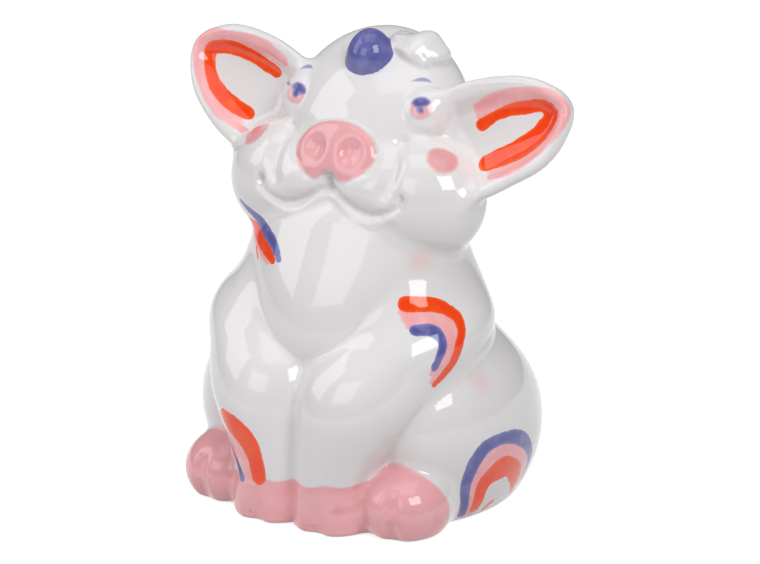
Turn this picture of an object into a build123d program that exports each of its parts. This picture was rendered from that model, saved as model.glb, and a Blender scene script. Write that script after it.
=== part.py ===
"""Seated pig figurine in glazed earthenware, built up as a figure maker builds one.

Two hollow slip castings, the body and the head, meet at the neck. Smaller solid castings are stuck
onto them with slip: forelegs, trotters, ears, snout, horn, forelock and tail. Sizes are in millimetres.
+X is the pig's left, -Y its front and +Z up. The origin is on the table, under the middle of the pig.
"""

import os
from math import cos, hypot, radians, sin

from build123d import *

# Slip-cast walls, dry foot and vent
WALL = 4.5
FLOOR_THICKNESS = 6.0
VENT_DIAMETER = 8.0
FOOT_RIM = 9.0
FOOT_RECESS = 1.5

# Body: a pear of four oval sections, from the foot up to the neck seam
FOOT_WIDTH = 86.0
FOOT_DEPTH = 80.0
FOOT_CENTRE_Y = 9.0
BELLY_HEIGHT = 32.0
BELLY_WIDTH = 92.0
BELLY_DEPTH = 98.0
BELLY_CENTRE_Y = 9.0
CHEST_HEIGHT = 66.0
CHEST_WIDTH = 80.0
CHEST_DEPTH = 90.0
CHEST_CENTRE_Y = -5.0
NECK_HEIGHT = 95.0
NECK_WIDTH = 82.0
NECK_DEPTH = 62.0
NECK_CENTRE_Y = -9.5

# Haunches: the seated thighs, part of the body casting, with the knee higher than the hip
HAUNCH_WIDTH = 55.0
HAUNCH_DEPTH = 86.0
HAUNCH_TALLNESS = 71.0
HAUNCH_SPREAD = 71.0
HAUNCH_CENTRE_Y = -1.5
HAUNCH_CENTRE_Z = 28.0
HAUNCH_LEAN = 18.0

# Head: a skull leant back to look up, with cheeks, nose, two upper lips and a chin
HEAD_LEAN = 26.0
SKULL_WIDTH = 72.0
SKULL_DEPTH = 49.0
SKULL_TALLNESS = 76.0
SKULL_CENTRE_Y = 2.0
SKULL_RISE = 36.0
CHEEK_WIDTH = 52.5
CHEEK_DEPTH = 40.0
CHEEK_TALLNESS = 46.0
CHEEK_SPREAD = 48.0
CHEEK_FORWARD = 14.0
CHEEK_DROP = 18.0
NOSE_WIDTH = 42.0
NOSE_DEPTH = 36.0
NOSE_TALLNESS = 30.0
NOSE_LEAN = 22.0
NOSE_FORWARD = 11.0
NOSE_DROP = 4.5
LIP_WIDTH = 37.0
LIP_DEPTH = 30.0
LIP_TALLNESS = 23.0
LIP_SPREAD = 29.0
LIP_FORWARD = 19.0
LIP_DROP = 12.5
CHIN_WIDTH = 54.0
CHIN_DEPTH = 40.0
CHIN_TALLNESS = 28.0
CHIN_FORWARD = 12.0
CHIN_DROP = 28.0
THROAT_RISE = 22.0
THROAT_WIDTH = 68.0
THROAT_DEPTH = 44.0
THROAT_CENTRE_Y = -2.0
DIMPLE_DIAMETER = 5.0
DIMPLE_SPREAD = 53.0
DIMPLE_FORWARD = 34.0
DIMPLE_DROP = 17.0

# Snout pad: a notched oval with two nostrils
SNOUT_WIDTH = 32.5
SNOUT_TALLNESS = 22.0
SNOUT_PROUD = 3.0
SNOUT_BITE = 12.0
SNOUT_DROP = 3.9
SNOUT_EDGE_ROUND = 1.8
SNOUT_NOTCH_WIDTH = 5.0
SNOUT_NOTCH_DEPTH = 3.0
NOSTRIL_SPACING = 14.5
NOSTRIL_WIDTH = 6.4
NOSTRIL_TALLNESS = 8.0
NOSTRIL_DEPTH = 1.6

# Ears: leaf-shaped dishes that stand out from the skull
EAR_LENGTH = 57.5
EAR_ROOT_WIDTH = 34.0
EAR_WIDTH = 37.6
EAR_WIDEST = 14.0
EAR_THICKNESS = 7.0
EAR_TIP_ROUND = 5.0
EAR_EDGE_ROUND = 2.4
EAR_RIM = 4.0
EAR_DISH_DEPTH = 3.0
EAR_BITE = 6.0
EAR_FORWARD = 8.0
EAR_DROP = 2.0
EAR_SWEEP = 7.0
EAR_LIFT = 26.5

# Horn: a blunt dome on the brow
HORN_DIAMETER = 16.8
HORN_LENGTH = 10.0
HORN_LEAN = 12.0

# Forelock: a lick of hair swept to the pig's left
FORELOCK_LENGTH = 22.0
FORELOCK_WIDTH = 15.0
FORELOCK_THICKNESS = 10.0
FORELOCK_TILT = 28.0

# Forelegs: ovals from the wrist up to the withers, their long way turned from the pig's left to its back
LEG_TURN = 60.0
WRIST_DIAMETER = 27.0
WRIST_SPREAD = 27.0
WRIST_CENTRE_Y = -47.0
KNEE_LENGTH = 40.0
KNEE_WIDTH = 39.0
KNEE_SPREAD = 33.0
KNEE_CENTRE_Y = -43.5
KNEE_HEIGHT = 34.0
ELBOW_LENGTH = 57.0
ELBOW_WIDTH = 51.0
ELBOW_SPREAD = 42.0
ELBOW_CENTRE_Y = -30.0
ELBOW_HEIGHT = 56.0
SHOULDER_LENGTH = 52.0
SHOULDER_WIDTH = 46.0
SHOULDER_SPREAD = 56.0
SHOULDER_CENTRE_Y = -17.5
SHOULDER_HEIGHT = 72.0
WITHERS_LENGTH = 20.0
WITHERS_WIDTH = 16.0
WITHERS_SPREAD = 42.0
WITHERS_CENTRE_Y = -10.0
WITHERS_DROP = 1.0

# Trotters: rounded feet, cleft at the front
FORE_TROTTER_HEIGHT = 15.0
FORE_TROTTER_LENGTH = 29.4
FORE_TROTTER_FLARE = 1.2
FORE_TROTTER_ROUND = 3.0
FORE_TROTTER_ADVANCE = 1.8
HIND_TROTTER_WIDTH = 33.6
HIND_TROTTER_DEPTH = 36.0
HIND_TROTTER_TALLNESS = 31.0
HIND_TROTTER_SPREAD = 73.0
HIND_TROTTER_CENTRE_Y = -39.5
HIND_TROTTER_CENTRE_Z = 10.5
CLEFT_WIDTH = 3.0
CLEFT_DEPTH = 5.0
CLEFT_HEIGHT = 9.0

# Tail: a curl pressed on the rump
TAIL_DIAMETER = 5.2
TAIL_CURL_DIAMETER = 14.0
TAIL_PROUD = 4.2
TAIL_START = 200.0
TAIL_SWEEP = 290.0


def swelling(plane, width, depth, tallness, wall=0.0):
    """A bulge of clay: a ball stretched to three sizes in its own plane, less a wall all round."""
    with BuildPart() as ball:
        Sphere(1)
        scale(by=(width / 2 - wall, depth / 2 - wall, tallness / 2 - wall))
    return plane.location * ball.part


def oval_loft(sections, wall=0.0):
    """A solid through level ovals, each given as height, middle in Y, width and depth."""
    with BuildPart() as solid:
        for height, centre_y, width, depth in sections:
            with BuildSketch(Plane.XY.offset(height)):
                with Locations((0, centre_y)):
                    Ellipse(width / 2 - wall, depth / 2 - wall)
        loft()
    return solid.part


def body_form(bottom, wall=0.0):
    """Pear and haunches in one form, flat at the bottom and at the neck seam."""
    sections = (
        (bottom, FOOT_CENTRE_Y, FOOT_WIDTH, FOOT_DEPTH),
        (BELLY_HEIGHT, BELLY_CENTRE_Y, BELLY_WIDTH, BELLY_DEPTH),
        (CHEST_HEIGHT, CHEST_CENTRE_Y, CHEST_WIDTH, CHEST_DEPTH),
        (NECK_HEIGHT, NECK_CENTRE_Y, NECK_WIDTH, NECK_DEPTH),
    )
    with BuildPart() as form:
        add(oval_loft(sections, wall))
        for side in (1, -1):
            hip = Plane((side * HAUNCH_SPREAD / 2, HAUNCH_CENTRE_Y, HAUNCH_CENTRE_Z))
            hip = hip.rotated((-HAUNCH_LEAN, 0, 0))
            add(swelling(hip, HAUNCH_WIDTH, HAUNCH_DEPTH, HAUNCH_TALLNESS, wall))
        split(bisect_by=Plane.XY.offset(bottom), keep=Keep.TOP)
        split(bisect_by=Plane.XY.offset(NECK_HEIGHT), keep=Keep.BOTTOM)
    return form.part


# The skull's middle, carried by the neck seam, from which the features of the head are placed
skull_z = NECK_HEIGHT + SKULL_RISE


def face_plane(spread, forward, drop, lean=0.0):
    """A plane on the head, so far to the pig's left, forward of and below the skull's middle."""
    return Plane((spread / 2, SKULL_CENTRE_Y - forward, skull_z - drop)).rotated((-lean, 0, 0))


skull_plane = face_plane(0, 0, 0, HEAD_LEAN)
nose_plane = face_plane(0, NOSE_FORWARD, NOSE_DROP, NOSE_LEAN)


def head_form(wall=0.0):
    """Skull, cheeks, nose, lips, chin and throat in one form, flat at the neck seam."""
    throat = (
        (NECK_HEIGHT, NECK_CENTRE_Y, NECK_WIDTH, NECK_DEPTH),
        (NECK_HEIGHT + THROAT_RISE, THROAT_CENTRE_Y, THROAT_WIDTH, THROAT_DEPTH),
    )
    chin_plane = face_plane(0, CHIN_FORWARD, CHIN_DROP)
    with BuildPart() as form:
        add(swelling(skull_plane, SKULL_WIDTH, SKULL_DEPTH, SKULL_TALLNESS, wall))
        for side in (1, -1):
            cheek_plane = face_plane(side * CHEEK_SPREAD, CHEEK_FORWARD, CHEEK_DROP)
            add(swelling(cheek_plane, CHEEK_WIDTH, CHEEK_DEPTH, CHEEK_TALLNESS, wall))
            lip_plane = face_plane(side * LIP_SPREAD, LIP_FORWARD, LIP_DROP)
            add(swelling(lip_plane, LIP_WIDTH, LIP_DEPTH, LIP_TALLNESS, wall))
        add(swelling(nose_plane, NOSE_WIDTH, NOSE_DEPTH, NOSE_TALLNESS, wall))
        add(swelling(chin_plane, CHIN_WIDTH, CHIN_DEPTH, CHIN_TALLNESS, wall))
        add(oval_loft(throat, wall))
        split(bisect_by=Plane.XY.offset(NECK_HEIGHT), keep=Keep.TOP)
    return form.part


# Body casting: hollow, with a dry foot rim round a shallow recess, and a vent for the firing
body_outside = body_form(0)

with BuildPart() as body_casting:
    add(body_outside)
    add(body_form(FLOOR_THICKNESS, WALL), mode=Mode.SUBTRACT)
    with BuildSketch():
        with Locations((0, FOOT_CENTRE_Y)):
            Ellipse(FOOT_WIDTH / 2 - FOOT_RIM, FOOT_DEPTH / 2 - FOOT_RIM)
    extrude(amount=FOOT_RECESS, mode=Mode.SUBTRACT)
    with BuildSketch():
        with Locations((0, FOOT_CENTRE_Y)):
            Circle(VENT_DIAMETER / 2)
    extrude(amount=FLOOR_THICKNESS, mode=Mode.SUBTRACT)

# Head casting: hollow, open at the neck, with a dimple at each end of the smile
head_outside = head_form()

with BuildPart() as head_casting:
    add(head_outside)
    add(head_form(WALL), mode=Mode.SUBTRACT)
    with Locations(*(face_plane(side * DIMPLE_SPREAD, DIMPLE_FORWARD, DIMPLE_DROP) for side in (1, -1))):
        Sphere(DIMPLE_DIAMETER / 2, mode=Mode.SUBTRACT)

# Snout pad: a notched oval set on the nose, facing forward and up
snout_facing = nose_plane.y_dir * -1
snout_plane = Plane(nose_plane.origin, x_dir=(1, 0, 0), z_dir=snout_facing)
snout_front = NOSE_DEPTH / 2 + SNOUT_PROUD

with BuildPart() as snout_pad:
    with BuildSketch(snout_plane.offset(snout_front - SNOUT_BITE)):
        with Locations((0, -SNOUT_DROP)):
            Ellipse(SNOUT_WIDTH / 2, SNOUT_TALLNESS / 2)
        with Locations((0, -SNOUT_DROP - SNOUT_TALLNESS / 2)):
            Ellipse(SNOUT_NOTCH_WIDTH / 2, SNOUT_NOTCH_DEPTH, mode=Mode.SUBTRACT)
    extrude(amount=SNOUT_BITE)
    snout_face = faces().sort_by(Axis(snout_plane.origin, snout_facing))[-1]
    fillet(snout_face.edges(), SNOUT_EDGE_ROUND)
    nostrils_plane = snout_plane.offset(snout_front)
    with Locations(nostrils_plane):
        with Locations((0, -SNOUT_DROP)):
            with GridLocations(NOSTRIL_SPACING, 0, 2, 1):
                add(swelling(Plane.XY, NOSTRIL_WIDTH, NOSTRIL_TALLNESS, 2 * NOSTRIL_DEPTH), mode=Mode.SUBTRACT)
    add(head_outside, mode=Mode.SUBTRACT)


# Ear leaf, drawn flat with its root at the origin: a rounded edge and a dished face
dish_length = EAR_LENGTH - EAR_RIM
dish = swelling(
    Plane((dish_length / 2, 0, EAR_THICKNESS / 2)), dish_length, EAR_WIDTH - 2 * EAR_RIM, 2 * EAR_DISH_DEPTH
)

with BuildPart() as ear_leaf:
    with BuildSketch(Plane.XY.offset(-EAR_THICKNESS / 2)):
        with BuildLine():
            for side in (1, -1):
                ThreePointArc(
                    (0, side * EAR_ROOT_WIDTH / 2), (EAR_WIDEST, side * EAR_WIDTH / 2), (EAR_LENGTH, 0)
                )
            Line((0, -EAR_ROOT_WIDTH / 2), (0, EAR_ROOT_WIDTH / 2))
        make_face()
        fillet(vertices().sort_by(Axis.X)[-1], EAR_TIP_ROUND)
    extrude(amount=EAR_THICKNESS)
    flats = faces().sort_by(Axis.Z)
    for flat in (flats[0], flats[-1]):
        fillet(flat.edges().sort_by(Axis.X)[1:], EAR_EDGE_ROUND)
    add(dish, mode=Mode.SUBTRACT)


# Ears: the leaf faces forward, with its root bedded in the side of the skull
ear_root = face_plane(SKULL_WIDTH - 2 * EAR_BITE, EAR_FORWARD, EAR_DROP).origin
ear_reach = cos(radians(EAR_LIFT))
ear_along = Vector(
    ear_reach * cos(radians(EAR_SWEEP)), ear_reach * sin(radians(EAR_SWEEP)), sin(radians(EAR_LIFT))
)
ear_facing = snout_facing - ear_along * snout_facing.dot(ear_along)
placed_leaf = Plane(ear_root, x_dir=ear_along, z_dir=ear_facing).location * ear_leaf.part

with BuildPart() as left_ear:
    add(placed_leaf)
    add(head_outside, mode=Mode.SUBTRACT)

with BuildPart() as right_ear:
    mirror(left_ear.part, about=Plane.YZ)


def skull_seat(direction):
    """The point where a line from the skull's middle leaves its surface."""
    local = skull_plane.to_local_coords(skull_plane.origin + direction)
    spans = (local.X / SKULL_WIDTH, local.Y / SKULL_DEPTH, local.Z / SKULL_TALLNESS)
    return skull_plane.origin + direction / (2 * hypot(*spans))


# Horn: a dome that stands on the brow
horn_axis = Vector(0, -sin(radians(HORN_LEAN)), cos(radians(HORN_LEAN)))
horn_plane = Plane(skull_seat(horn_axis), x_dir=(1, 0, 0), z_dir=horn_axis)

with BuildPart() as horn:
    add(swelling(horn_plane, HORN_DIAMETER, HORN_DIAMETER, 2 * HORN_LENGTH))
    add(head_outside, mode=Mode.SUBTRACT)

# Forelock: a lick laid over the crown, beside the horn
lick_out = Vector(sin(radians(FORELOCK_TILT)), 0, cos(radians(FORELOCK_TILT)))
lick_plane = Plane(skull_seat(lick_out), x_dir=Vector(0, 1, 0).cross(lick_out), z_dir=lick_out)

with BuildPart() as forelock:
    add(swelling(lick_plane, FORELOCK_LENGTH, FORELOCK_WIDTH, FORELOCK_THICKNESS))
    add(head_outside, mode=Mode.SUBTRACT)
    add(horn.part, mode=Mode.SUBTRACT)

# Forelegs: one loft from wrist to withers through ovals turned towards the shoulder
wrist = Vector(WRIST_SPREAD / 2, WRIST_CENTRE_Y, FORE_TROTTER_HEIGHT)
withers_z = NECK_HEIGHT - WITHERS_DROP
leg_sections = (
    (wrist, WRIST_DIAMETER, WRIST_DIAMETER),
    (Vector(KNEE_SPREAD / 2, KNEE_CENTRE_Y, KNEE_HEIGHT), KNEE_LENGTH, KNEE_WIDTH),
    (Vector(ELBOW_SPREAD / 2, ELBOW_CENTRE_Y, ELBOW_HEIGHT), ELBOW_LENGTH, ELBOW_WIDTH),
    (Vector(SHOULDER_SPREAD / 2, SHOULDER_CENTRE_Y, SHOULDER_HEIGHT), SHOULDER_LENGTH, SHOULDER_WIDTH),
    (Vector(WITHERS_SPREAD / 2, WITHERS_CENTRE_Y, withers_z), WITHERS_LENGTH, WITHERS_WIDTH),
)

with BuildPart() as left_foreleg:
    for centre, length, width in leg_sections:
        with BuildSketch(Plane.XY.offset(centre.Z)):
            with Locations((centre.X, centre.Y)):
                Ellipse(length / 2, width / 2, rotation=LEG_TURN)
    loft()
    split(bisect_by=Plane.YZ, keep=Keep.TOP)
    add(body_outside, mode=Mode.SUBTRACT)
    add(head_outside, mode=Mode.SUBTRACT)

with BuildPart() as right_foreleg:
    mirror(left_foreleg.part, about=Plane.YZ)

# Fore trotters: a flared foot under each wrist, cleft at the toe
fore_toe_y = wrist.Y - FORE_TROTTER_ADVANCE - FORE_TROTTER_LENGTH / 2
fore_half_width = WRIST_DIAMETER / 2 + FORE_TROTTER_FLARE

with BuildPart() as left_fore_trotter:
    with BuildSketch():
        with Locations((wrist.X, wrist.Y - FORE_TROTTER_ADVANCE)):
            Ellipse(fore_half_width, FORE_TROTTER_LENGTH / 2)
    with BuildSketch(Plane.XY.offset(FORE_TROTTER_HEIGHT)):
        with Locations((wrist.X, wrist.Y)):
            Circle(fore_half_width)
    loft()
    fillet(faces().sort_by(Axis.Z)[0].edges(), FORE_TROTTER_ROUND)
    with BuildSketch():
        with Locations((wrist.X, fore_toe_y)):
            Ellipse(CLEFT_WIDTH / 2, CLEFT_DEPTH)
    extrude(amount=CLEFT_HEIGHT, mode=Mode.SUBTRACT)
    split(bisect_by=Plane.YZ, keep=Keep.TOP)
    add(body_outside, mode=Mode.SUBTRACT)

with BuildPart() as right_fore_trotter:
    mirror(left_fore_trotter.part, about=Plane.YZ)

# Hind trotters: a ball of clay in front of each haunch, cleft at the toe
hind_plane = Plane((HIND_TROTTER_SPREAD / 2, HIND_TROTTER_CENTRE_Y, HIND_TROTTER_CENTRE_Z))
hind_sizes = (HIND_TROTTER_WIDTH, HIND_TROTTER_DEPTH, HIND_TROTTER_TALLNESS)

with BuildPart() as hind_cleft:
    with BuildSketch():
        with Locations((hind_plane.origin.X, hind_plane.origin.Y)):
            Rectangle(CLEFT_WIDTH, HIND_TROTTER_DEPTH, align=(Align.CENTER, Align.MAX))
    extrude(amount=CLEFT_HEIGHT)
    add(swelling(hind_plane, *hind_sizes, wall=CLEFT_DEPTH), mode=Mode.SUBTRACT)

with BuildPart() as left_hind_trotter:
    add(swelling(hind_plane, *hind_sizes))
    split(bisect_by=Plane.XY, keep=Keep.TOP)
    add(hind_cleft.part, mode=Mode.SUBTRACT)
    add(body_outside, mode=Mode.SUBTRACT)
    add(left_foreleg.part, mode=Mode.SUBTRACT)
    add(left_fore_trotter.part, mode=Mode.SUBTRACT)

with BuildPart() as right_hind_trotter:
    mirror(left_hind_trotter.part, about=Plane.YZ)

# Tail: an open ring pressed on the rump at the belly's widest level
tail_plane = Plane(
    (0, BELLY_CENTRE_Y + BELLY_DEPTH / 2, BELLY_HEIGHT), x_dir=(1, 0, 0), z_dir=(0, 1, 0)
).offset(TAIL_PROUD - TAIL_DIAMETER / 2)

with BuildPart() as tail:
    with BuildLine(tail_plane) as curl:
        CenterArc((0, 0), TAIL_CURL_DIAMETER / 2, TAIL_START, TAIL_SWEEP)
    with BuildSketch(Plane(curl.line @ 0, z_dir=curl.line % 0)):
        Circle(TAIL_DIAMETER / 2)
    sweep(path=curl.line)
    with Locations(curl.line @ 0, curl.line @ 1):
        Sphere(TAIL_DIAMETER / 2)
    add(body_outside, mode=Mode.SUBTRACT)

pieces = {
    "body_casting": body_casting.part,
    "head_casting": head_casting.part,
    "snout_pad": snout_pad.part,
    "left_ear": left_ear.part,
    "right_ear": right_ear.part,
    "horn": horn.part,
    "forelock": forelock.part,
    "left_foreleg": left_foreleg.part,
    "right_foreleg": right_foreleg.part,
    "left_fore_trotter": left_fore_trotter.part,
    "right_fore_trotter": right_fore_trotter.part,
    "left_hind_trotter": left_hind_trotter.part,
    "right_hind_trotter": right_hind_trotter.part,
    "tail": tail.part,
}

os.makedirs("parts", exist_ok=True)
for name, piece in pieces.items():
    piece.label = name
    export_step(piece, f"parts/{name}.step")
    print(f"{name}: {len(piece.solids())} solid, {piece.volume:.0f} cubic mm")
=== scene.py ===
# %% [markdown]
# # A seated pig in glazed earthenware
# The pig is a hollow slip casting: liquid clay is poured into plaster moulds, the shells are stuck together
# while they are leather-hard, a painter adds colour with a brush, and a clear glaze is fired over everything.
# The lesson follows that order. First the clay is sculpted, as numbers in a distance field. Then the skin is
# wrapped round it and shared out among the pieces. Then come the brush strokes, the glaze and the studio.

# %% Load the fixed frame
import math

import bpy
import numpy as np
from mathutils import Matrix, Vector


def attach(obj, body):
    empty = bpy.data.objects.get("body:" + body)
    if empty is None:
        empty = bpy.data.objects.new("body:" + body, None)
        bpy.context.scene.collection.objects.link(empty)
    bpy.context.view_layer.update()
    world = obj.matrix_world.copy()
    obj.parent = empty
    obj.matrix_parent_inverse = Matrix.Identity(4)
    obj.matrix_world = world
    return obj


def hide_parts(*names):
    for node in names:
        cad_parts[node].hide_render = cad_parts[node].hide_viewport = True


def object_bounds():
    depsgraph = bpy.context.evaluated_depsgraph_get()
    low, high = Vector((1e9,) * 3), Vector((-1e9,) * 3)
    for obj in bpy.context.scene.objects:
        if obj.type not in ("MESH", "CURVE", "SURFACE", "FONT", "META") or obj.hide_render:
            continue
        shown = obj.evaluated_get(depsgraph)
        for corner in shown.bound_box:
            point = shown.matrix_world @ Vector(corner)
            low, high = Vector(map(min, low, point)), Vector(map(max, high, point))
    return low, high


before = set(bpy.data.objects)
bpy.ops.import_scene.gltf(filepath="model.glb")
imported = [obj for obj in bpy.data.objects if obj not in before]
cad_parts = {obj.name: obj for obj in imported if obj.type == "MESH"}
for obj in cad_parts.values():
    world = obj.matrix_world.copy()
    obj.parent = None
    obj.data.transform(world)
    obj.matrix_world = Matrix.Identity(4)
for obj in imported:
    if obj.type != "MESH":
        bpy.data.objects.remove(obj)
cad_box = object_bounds()
MM = 0.001
print("CAD box in metres:", [[round(v, 4) for v in corner] for corner in cad_box])

# %% [markdown]
# ## The camera
# The pig is seen from its front left and a little above. A long lens keeps the perspective calm, as product
# photographs do. The camera is placed by two angles and a distance from a point in the middle of the pig.
# A small lens shift puts that point where it sits in the picture, without turning the camera.

# %% Camera
PICTURE = (760, 564)
TURN, RISE, AWAY = math.radians(30.5), math.radians(16.8), 0.950
AIM = Vector((0.0, 0.0, 0.084))
AIM_PIXEL = (374.0, 256.5)
PIXELS_PER_SLOPE = 2626.75
SENSOR = 36.0

back = Vector((math.sin(TURN) * math.cos(RISE), -math.cos(TURN) * math.cos(RISE), math.sin(RISE)))
lens_data = bpy.data.cameras.new("studio_camera")
lens_data.sensor_width = SENSOR
lens_data.lens = SENSOR * PIXELS_PER_SLOPE / PICTURE[0]
lens_data.shift_x = (PICTURE[0] / 2 - AIM_PIXEL[0]) / PICTURE[0]
lens_data.shift_y = (AIM_PIXEL[1] - PICTURE[1] / 2) / PICTURE[0]
camera = bpy.data.objects.new("studio_camera", lens_data)
bpy.context.collection.objects.link(camera)
camera.location = AIM + back * AWAY
camera.rotation_euler = back.to_track_quat("Z", "Y").to_euler()
bpy.context.scene.camera = camera
print("lens", round(lens_data.lens, 1), "mm, shift", round(lens_data.shift_x, 4), round(lens_data.shift_y, 4))

# %% [markdown]
# ## Clay as a distance field
# Soft clay forms melt into each other, which is hard to draw with single surfaces. A distance field makes it
# easy: each lump is a function that tells how far a point is from its skin, negative inside. Lumps are joined
# with a minimum that is rounded over a few millimetres, as a finger rounds a join. All sizes are millimetres.


# %% Lumps of clay
TINY, FAR_OFF = 1e-6, 1e3


def turned(points, lean=0.0, turn=0.0):
    """Points seen from a lump that leans back and is turned to the pig's left, both in degrees."""
    matrix = Matrix.Rotation(math.radians(turn), 3, "Z") @ Matrix.Rotation(math.radians(-lean), 3, "X")
    return points @ np.array(matrix, dtype=points.dtype)


def ball(points, middle, radii, lean=0.0, turn=0.0):
    """A ball stretched to three radii."""
    local = turned(points - np.array(middle, points.dtype), lean, turn)
    near = np.sqrt(((local / np.array(radii, points.dtype)) ** 2).sum(1)) + TINY
    steep = np.sqrt(((local / np.array(radii, points.dtype) ** 2) ** 2).sum(1)) + TINY
    return near * (near - 1) / steep


def roll(points, start, end, start_radius, end_radius):
    """A roll of clay between two points, thicker at one end."""
    a, b = np.array(start, points.dtype), np.array(end, points.dtype)
    along = np.clip((points - a) @ (b - a) / ((b - a) @ (b - a)), 0, 1)
    gap = np.linalg.norm(points - a - along[:, None] * (b - a), axis=1)
    return gap - start_radius - (end_radius - start_radius) * along


def joined(first, second, soft):
    """Two lumps joined, with the join rounded over a distance."""
    mix = np.clip(0.5 + 0.5 * (second - first) / soft, 0, 1)
    return second + (first - second) * mix - soft * mix * (1 - mix)


def carved(clay, tool, soft):
    """Clay with a tool's form cut away."""
    return -joined(-clay, tool, soft)


# %% Ovals stacked on each other
SIDE_SLOPE = 0.92


def smooth_rows(rows, count=160):
    """Rows of numbers, the first one rising, filled in along smooth curves."""
    rows = np.array(rows, float)
    levels = np.linspace(rows[0, 0], rows[-1, 0], count)
    slopes = np.gradient(rows[:, 1:], rows[:, 0], axis=0)
    cell = np.clip(np.searchsorted(rows[:, 0], levels) - 1, 0, len(rows) - 2)
    span = (rows[cell + 1, 0] - rows[cell, 0])[:, None]
    t = (levels[:, None] - rows[cell, 0][:, None]) / span
    return levels, (
        (2 * t**3 - 3 * t**2 + 1) * rows[cell, 1:]
        + (t**3 - 2 * t**2 + t) * span * slopes[cell]
        + (3 * t**2 - 2 * t**3) * rows[cell + 1, 1:]
        + (t**3 - t**2) * span * slopes[cell + 1]
    )


def stack(points, ovals, turn=0.0):
    """A form through level ovals, each a height, a middle in X and Y, and two radii, smoothed between."""
    levels, table = smooth_rows(ovals)
    height = points[:, 2]
    x, y, long, wide = (np.interp(height, levels, table[:, k]).astype(points.dtype) for k in range(4))
    c, s = math.cos(math.radians(turn)), math.sin(math.radians(turn))
    dx, dy = points[:, 0] - x, points[:, 1] - y
    u, v = c * dx + s * dy, c * dy - s * dx
    near = np.sqrt((u / long) ** 2 + (v / wide) ** 2) + TINY
    steep = np.sqrt((u / long**2) ** 2 + (v / wide**2) ** 2) + TINY
    side = SIDE_SLOPE * near * (near - 1) / steep
    over = np.maximum(height - levels[-1], levels[0] - height)
    return np.where(over > 0, np.sqrt(np.maximum(side, 0) ** 2 + over**2) + np.minimum(side, 0), side)


def both(form, points):
    """The same form on the pig's left and, mirrored, on its right: a point is folded to the left side."""
    return form(points * np.where(points[:, :1] < 0, [[-1, 1, 1]], [[1, 1, 1]]).astype(points.dtype))


def mirrored(points):
    return points * np.array((-1, 1, 1), points.dtype)


print("clay tools ready")

# %% [markdown]
# ## Body and legs
# The body is a pear that sits on its foot, with a thigh swelling on each side. The forelegs come down from
# the withers, cross the chest and stand between the hind feet. Their joins are closer than those of the
# thighs, so a clear V is left on the chest and a soft valley beside each thigh.

# %% Body casting
TORSO = [
    (-6, 0, 9, 40, 36), (0, 0, 9, 43.5, 41), (12, 0, 9, 45.6, 46), (32, 0, 9, 46, 49), (66, 0, -5, 40, 45),
    (95, 0, -9.5, 41, 31), (110, 0, -7, 36, 25), (122, 0, -4, 24, 16),
]


def thigh(points):
    leg = ball(points, middle=(35.5, -1.5, 28), radii=(27.3, 43, 35), lean=18)
    return joined(leg, ball(points, middle=(37, -9, 8), radii=(17.5, 31, 13)), soft=8)


def body_clay(points):
    return joined(stack(points, TORSO), both(thigh, points), soft=14)


# %% Forelegs and trotters
FORELEG = [
    (4, 11.5, -46.2, 15, 15), (15, 11.5, -46.2, 15.4, 15.2), (24, 12.8, -45, 17.2, 17),
    (34, 15.4, -42.4, 20.6, 20), (44, 18.2, -37.8, 25.2, 23.2), (56, 21, -30, 28.5, 25.5),
    (72, 28, -17.5, 26, 23), (85, 23.5, -12, 17, 14), (94, 21, -10, 6, 5),
]
FORELEG_TURN = 60
FORE_TROTTER = [(2.4, 12.2, -47.4, 12.3, 12.2), (8, 12.2, -47.2, 12.4, 12.2), (13, 12.2, -46.6, 11.6, 11.6)]
FORE_TROTTER_ROUND = 3
TOE_FOLD = [(39.5, -54.8, -2), (39.5, -58.7, 9), (39.5, -54.5, 21.5)]
TOE_FOLD_RADII = (3.4, 3.0, 1.2)


def foreleg(points):
    return stack(points, FORELEG, FORELEG_TURN)


def fore_trotter(points):
    foot = stack(points, FORE_TROTTER) - FORE_TROTTER_ROUND
    cleft = roll(points, start=(12.6, -65, -3), end=(12.6, -63.6, 13), start_radius=4.8, end_radius=1.8)
    return carved(foot, cleft, soft=3)


def hind_trotter(points):
    foot = ball(points, middle=(36.5, -39.5, 9.8), radii=(16.8, 18, 14.4))
    lower, upper = (
        roll(points, TOE_FOLD[k], TOE_FOLD[k + 1], TOE_FOLD_RADII[k], TOE_FOLD_RADII[k + 1]) for k in (0, 1)
    )
    return carved(foot, np.minimum(lower, upper), soft=2.5)


# %% [markdown]
# ## Head
# The head looks up, so its skull leans back. Cheeks, nose, two upper lips and a chin are set on it. The lips
# overhang the chin with a tight join, which gives the smile. A dimple ends the smile on each side.

# %% Skull, cheeks, nose and lips
SMILE = [
    (28.6, 116.4), (27.6, 113.9), (24.4, 111.6), (20.6, 110), (16.8, 109.4), (12, 110.5), (7.4, 113.5),
    (3.6, 115.9), (0, 117.2),
]
LOWER_LIP = [(25.5, 110.0), (21, 107.4), (17, 107.0), (12.5, 108.4), (8, 110.8), (4, 113.2), (0, 114.6)]
PHILTRUM = [(0, 117.4), (0, 123.0)]
CHEEK_CREASE = [(22.3, 132.5), (23.2, 128.7), (23.9, 126), (23.6, 122.5), (22.8, 119)]
CHEEK_TOP = [(22.3, 132.3), (26.5, 133.4), (31, 134.3), (34.4, 133.9), (37.9, 132.3)]
DRAWN_FROM, DRAWN_FADE = 4, 4
DIMPLE_X, DIMPLE_Z, DIMPLE_HALF_X, DIMPLE_HALF_Z = 28.3, 116.4, 1.6, 2.6
DIMPLE_FRONT, LEFT_DIMPLE_SHARE = -14, 0.45


def cheek(points):
    return ball(points, middle=(24, -12, 112.8), radii=(26.3, 20, 23))


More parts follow.
